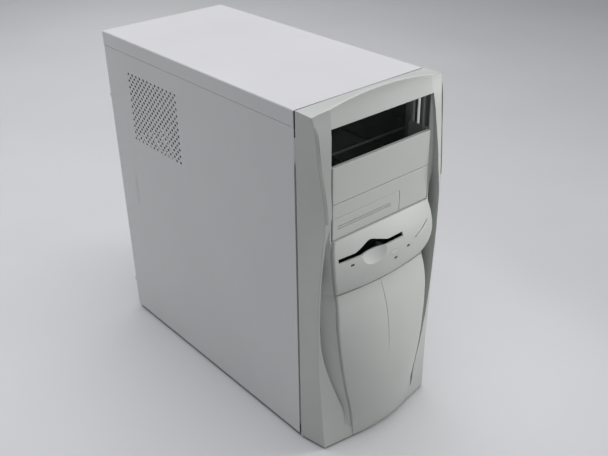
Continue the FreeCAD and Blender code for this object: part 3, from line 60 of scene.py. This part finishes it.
# ---- node helpers ----
class Material:
    """A node material with a Principled shader, and short calls for the textures that feed it."""

    def __init__(self, name):
        self.material = bpy.data.materials.new(name)
        self.material.use_nodes = True
        self.tree = self.material.node_tree
        self.shader = self.tree.nodes["Principled BSDF"]
        self.place = self.node("ShaderNodeTexCoord").outputs["Object"]

    def node(self, kind, **settings):
        made = self.tree.nodes.new(kind)
        for key, value in settings.items():
            setattr(made, key, value)
        return made

    def link(self, source, target):
        self.tree.links.new(source, target)

    def set(self, **values):
        for key, value in values.items():
            self.shader.inputs[key.replace("_", " ")].default_value = value

    def stretched(self, x, y, z):
        """Coordinates scaled differently along X, Y and Z."""
        made = self.node("ShaderNodeMapping")
        made.inputs["Scale"].default_value = (x, y, z)
        self.link(self.place, made.inputs["Vector"])
        return made.outputs["Vector"]

    def noise(self, scale, detail=3.0, rough=0.55, vector=None):
        made = self.node("ShaderNodeTexNoise")
        made.inputs["Scale"].default_value = scale
        made.inputs["Detail"].default_value = detail
        made.inputs["Roughness"].default_value = rough
        self.link(vector or self.place, made.inputs["Vector"])
        return made.outputs["Fac"]

    def cells(self, scale, feature="F1", output="Distance", vector=None):
        made = self.node("ShaderNodeTexVoronoi", feature=feature)
        made.inputs["Scale"].default_value = scale
        self.link(vector or self.place, made.inputs["Vector"])
        return made.outputs[output]

    def ramp(self, source, stops):
        """A colour ramp of (position, colour) stops."""
        made = self.node("ShaderNodeValToRGB")
        band = made.color_ramp
        while len(band.elements) < len(stops):
            band.elements.new(0.5)
        for element, (position, colour) in zip(band.elements, stops):
            element.position = position
            element.color = (*colour, 1)
        self.link(source, made.inputs["Fac"])
        return made.outputs["Color"]

    def mix(self, share, first, second):
        """Colours mixed by a share that is a number or a socket."""
        made = self.node("ShaderNodeMix", data_type="RGBA")
        for index, value in ((0, share), (6, first), (7, second)):
            if isinstance(value, bpy.types.NodeSocket):
                self.link(value, made.inputs[index])
            elif isinstance(value, tuple):
                made.inputs[index].default_value = (*value, 1)
            else:
                made.inputs[index].default_value = value
        return made.outputs[2]

    def math(self, kind, first, second=0.0, third=0.0):
        made = self.node("ShaderNodeMath", operation=kind)
        for index, value in enumerate((first, second, third)):
            if isinstance(value, bpy.types.NodeSocket):
                self.link(value, made.inputs[index])
            else:
                made.inputs[index].default_value = value
        return made.outputs[0]

    def axis(self, letter):
        made = self.node("ShaderNodeSeparateXYZ")
        self.link(self.place, made.inputs[0])
        return made.outputs[letter]

    def band(self, source, low, high, soft):
        """1 between low and high, fading to 0 over a soft distance outside."""
        rise = self.node("ShaderNodeMapRange", interpolation_type="SMOOTHSTEP")
        fall = self.node("ShaderNodeMapRange", interpolation_type="SMOOTHSTEP")
        for made, start, end in ((rise, low - soft, low), (fall, high + soft, high)):
            self.link(source, made.inputs["Value"])
            made.inputs["From Min"].default_value = start
            made.inputs["From Max"].default_value = end
        return self.math("MULTIPLY", rise.outputs[0], fall.outputs[0])

    def colour(self, socket):
        self.link(socket, self.shader.inputs["Base Color"])

    def roughness(self, socket, low, high):
        made = self.node("ShaderNodeMapRange")
        self.link(socket, made.inputs["Value"])
        made.inputs["To Min"].default_value = low
        made.inputs["To Max"].default_value = high
        self.link(made.outputs[0], self.shader.inputs["Roughness"])

    def bump(self, socket, strength, distance, edge=0.0):
        """Fine relief, over edges softened by a bevel radius."""
        made = self.node("ShaderNodeBump")
        made.inputs["Strength"].default_value = strength
        made.inputs["Distance"].default_value = distance
        self.link(socket, made.inputs["Height"])
        if edge:
            soft = self.node("ShaderNodeBevel", samples=4)
            soft.inputs["Radius"].default_value = edge
            self.link(soft.outputs[0], made.inputs["Normal"])
        self.link(made.outputs[0], self.shader.inputs["Normal"])


def tint(colour, factor):
    return tuple(min(1.0, channel * factor) for channel in colour)


# ---- materials ----
def plastic(name, colour, grain=1700.0, edge=0.0006, spread=0.035, roughness=(0.42, 0.56), relief=0.22):
    """Moulded plastic: a fine spark-eroded grain, faint cloudy tone, and slightly worn, rounder edges."""
    made = Material(name)
    cloud = made.noise(9.0, 4.0)
    speck = made.noise(grain, 2.0)
    base = made.ramp(cloud, [(0.3, tint(colour, 1 - spread)), (0.7, tint(colour, 1 + spread))])
    made.colour(made.mix(made.math("MULTIPLY", speck, 0.10), base, tint(colour, 0.82)))
    made.roughness(made.noise(30.0, 3.0), *roughness)
    made.bump(speck, relief, 0.00012, edge)
    made.set(IOR=1.49)
    return made


def paint(name, colour, smudge=None):
    """Baked paint on sheet steel: orange-peel relief, faint rubbed patches and fine dust specks."""
    made = Material(name)
    cloud = made.noise(5.0, 5.0, vector=made.stretched(1, 1, 0.6))
    peel = made.noise(620.0, 2.0)
    base = made.ramp(cloud, [(0.3, tint(colour, 0.965)), (0.72, tint(colour, 1.02))])
    specks = made.math("LESS_THAN", made.cells(420.0), 0.055)
    rare = made.math("GREATER_THAN", made.noise(38.0, 1.0), 0.60)
    dust = made.math("MULTIPLY", made.math("MULTIPLY", specks, rare), 0.28)
    base = made.mix(dust, base, tint(colour, 0.55))
    if smudge:
        base = made.mix(smudge(made), base, tint(colour, 0.62))
    made.colour(base)
    made.roughness(made.noise(14.0, 4.0), 0.36, 0.52)
    made.bump(peel, 0.16, 0.00010, 0.0005)
    made.set(IOR=1.5)
    return made


def plated(name, colour, roughness=(0.30, 0.48), brushed=(3.0, 3.0, 260.0), edge=0.0002):
    """Plated or brushed metal: drawn-out streaks, cloudy plating and small stains."""
    made = Material(name)
    streaks = made.noise(22.0, 4.0, 0.6, made.stretched(*brushed))
    cloud = made.noise(26.0, 5.0)
    base = made.ramp(cloud, [(0.25, tint(colour, 0.80)), (0.75, tint(colour, 1.12))])
    made.colour(made.mix(made.math("MULTIPLY", streaks, 0.30), base, tint(colour, 0.68)))
    made.roughness(streaks, *roughness)
    made.bump(streaks, 0.10, 0.00006, edge)
    made.set(Metallic=1.0)
    return made


def board(name, colour):
    """A lacquered circuit board: copper runs under the lacquer and plated holes."""
    made = Material(name)
    cloud = made.noise(40.0, 3.0)
    base = made.ramp(cloud, [(0.3, tint(colour, 0.85)), (0.7, tint(colour, 1.15))])
    runs = made.cells(330.0, "DISTANCE_TO_EDGE", "Distance", made.stretched(1.0, 1.0, 0.35))
    base = made.mix(made.math("LESS_THAN", runs, 0.10), base, tint(colour, 1.9))
    holes = made.math("LESS_THAN", made.cells(210.0), 0.11)
    base = made.mix(holes, base, (0.62, 0.60, 0.52))
    made.colour(base)
    made.roughness(cloud, 0.26, 0.40)
    made.bump(runs, 0.25, 0.00008, 0.0001)
    made.set(IOR=1.52)
    return made


def casting(name, colour):
    made = Material(name)
    grit = made.noise(900.0, 3.0)
    cloud = made.noise(30.0, 4.0)
    made.colour(made.ramp(cloud, [(0.3, tint(colour, 0.82)), (0.7, tint(colour, 1.1))]))
    made.roughness(grit, 0.38, 0.58)
    made.bump(grit, 0.30, 0.00012, 0.0003)
    made.set(Metallic=1.0)
    return made


def ribbon(name, colour, pitch=0.00127):
    """Flat cable: one shallow ridge for each wire."""
    made = Material(name)
    across = made.axis("Z")
    wave = made.math("SINE", made.math("MULTIPLY", across, math.tau / pitch))
    ridge = made.math("MULTIPLY_ADD", wave, 0.5, 0.5)
    # Painted shade: the colour darkens to 72 percent in the troughs between the wire ridges, where shade
    # falls.
    base = made.ramp(ridge, [(0.0, tint(colour, 0.72)), (0.5, colour)])
    made.colour(made.mix(made.math("MULTIPLY", made.noise(60.0), 0.25), base, tint(colour, 0.8)))
    made.roughness(ridge, 0.50, 0.38)
    made.bump(ridge, 0.5, 0.0003)
    return made


def sleeve(name, colour):
    """A braided cable sleeve."""
    made = Material(name)
    weave = made.cells(1500.0, "F1", "Distance")
    # Painted sheen and shade: each weave cell is painted lighter at its centre and darker towards its rim.
    made.colour(made.ramp(weave, [(0.1, tint(colour, 1.6)), (0.7, tint(colour, 0.6))]))
    made.roughness(weave, 0.45, 0.70)
    made.bump(weave, 0.5, 0.0003)
    return made


def panel_smudge(made):
    """A soft upright rub mark low on the vented side, towards the rear."""
    upright = made.band(made.axis("Z"), *SMUDGE_HEIGHTS, 0.020)
    along = made.band(made.axis("Y"), *SMUDGE_ALONG, 0.004)
    broken = made.noise(70.0, 4.0, vector=made.stretched(1, 1, 0.4))
    return made.math("MULTIPLY", made.math("MULTIPLY", upright, along), made.math("MULTIPLY", broken, 0.75))


looks = {
    "bezel_plastic": plastic("bezel_plastic", BEZEL),
    "key_plastic": plastic("key_plastic", (0.50, 0.505, 0.505), spread=0.03),
    "lamp_lens": plastic("lamp_lens", (0.045, 0.045, 0.05), grain=300.0, roughness=(0.10, 0.2), relief=0.02),
    "painted_steel": paint("painted_steel", STEEL_PAINT),
    "bare_steel": plated("bare_steel", (0.50, 0.505, 0.51)),
    "bright_metal": plated("bright_metal", (0.66, 0.66, 0.67), (0.16, 0.34), (200.0, 3.0, 200.0), 0.0002),
    "brass": plated("brass", (0.60, 0.44, 0.16), (0.22, 0.38)),
    "rubber": plastic("rubber", (0.022, 0.022, 0.022), roughness=(0.7, 0.9), relief=0.4),
    "drive_casting": casting("drive_casting", (0.52, 0.53, 0.54)),
    "processor_ceramic": plastic("processor_ceramic", (0.20, 0.15, 0.12), roughness=(0.25, 0.4)),
    "dark_plastic": plastic("dark_plastic", (0.022, 0.022, 0.024), edge=0.0003, spread=0.15),
    "red_plastic": plastic("red_plastic", (0.42, 0.02, 0.015), edge=0.0003),
    "pale_plastic": plastic("pale_plastic", (0.62, 0.60, 0.52), edge=0.0003),
    "circuit_board": board("circuit_board", (0.015, 0.085, 0.035)),
    "capacitor_can": plated("capacitor_can", (0.30, 0.34, 0.42), (0.25, 0.4)),
    "port_metal": plated("port_metal", (0.55, 0.55, 0.56), (0.25, 0.4)),
    "cable_grey": ribbon("cable_grey", (0.42, 0.43, 0.44)),
    "cable_dark": sleeve("cable_dark", (0.03, 0.03, 0.032)),
}
special = {"left_side_panel": paint("vented_side_paint", STEEL_PAINT, panel_smudge)}

for part in record["subparts"]:
    target = nodes[part["node"]]
    chosen = special.get(part["node"]) or looks[part["material_slot"]]
    target.data.materials.clear()
    target.data.materials.append(chosen.material)


# ---- floor, light and camera ----
def floor():
    """A large pale ground that is slightly mottled."""
    made = Material("studio_floor")
    cloud = made.noise(2.0, 3.0)
    made.colour(made.ramp(cloud, [(0.3, FLOOR_DARK), (0.7, FLOOR_PALE)]))
    made.roughness(cloud, 0.7, 0.8)
    mesh = bpy.data.meshes.new("studio_floor")
    signs = ((-1, -1), (1, -1), (1, 1), (-1, 1))
    corners = [(FLOOR_REACH * x, FLOOR_REACH * y, -FLOOR_DROP) for x, y in signs]
    mesh.from_pydata(corners, [], [(0, 1, 2, 3)])
    ground = bpy.data.objects.new("studio_floor", mesh)
    mesh.materials.append(made.material)
    scene.collection.objects.link(ground)


def softbox(name, place, aim, size, power, colour, spread):
    """A square area light; a narrow spread keeps it off what lies beside its aim."""
    light = bpy.data.lights.new(name, "AREA")
    light.shape = "SQUARE"
    light.size = size
    light.energy = power
    light.color = colour
    light.spread = math.radians(spread)
    lamp = bpy.data.objects.new(name, light)
    lamp.location = place
    lamp.rotation_mode = "QUATERNION"
    lamp.rotation_quaternion = (Vector(aim) - Vector(place)).to_track_quat("-Z", "Y")
    scene.collection.objects.link(lamp)


def sky():
    """An even, faintly blue light from all round."""
    world = bpy.data.worlds.new("studio")
    scene.world = world
    world.use_nodes = True
    background = world.node_tree.nodes["Background"]
    background.inputs["Color"].default_value = (*SKY, 1)
    background.inputs["Strength"].default_value = SKY_STRENGTH


def camera():
    """The camera's place and turn: yaw from +Y towards +X, pitch below the horizon, and a small roll."""
    yaw, pitch, roll = (math.radians(angle) for angle in (CAMERA_YAW, CAMERA_PITCH, CAMERA_ROLL))
    level = Vector((math.sin(yaw), math.cos(yaw), 0)) * math.cos(pitch)
    ahead = level + Vector((0, 0, -math.sin(pitch)))
    right = Vector((math.cos(yaw), -math.sin(yaw), 0))
    up = right.cross(ahead)
    right_rolled = right * math.cos(roll) + up * math.sin(roll)
    up_rolled = up * math.cos(roll) - right * math.sin(roll)
    lens = bpy.data.cameras.new("photo_camera")
    lens.lens = CAMERA_LENS_MM
    lens.sensor_width = SENSOR_WIDTH_MM
    lens.clip_start, lens.clip_end = 0.05, 100.0
    made = bpy.data.objects.new("photo_camera", lens)
    made.rotation_mode = "QUATERNION"
    turn = Matrix((right_rolled, up_rolled, -ahead)).transposed()
    made.rotation_quaternion = turn.to_quaternion()
    made.location = CAMERA_PLACE
    scene.collection.objects.link(made)
    scene.camera = made


floor()
sky()
for settings in SOFTBOXES:
    softbox(*settings)
scene.view_settings.view_transform = "Standard"
camera()
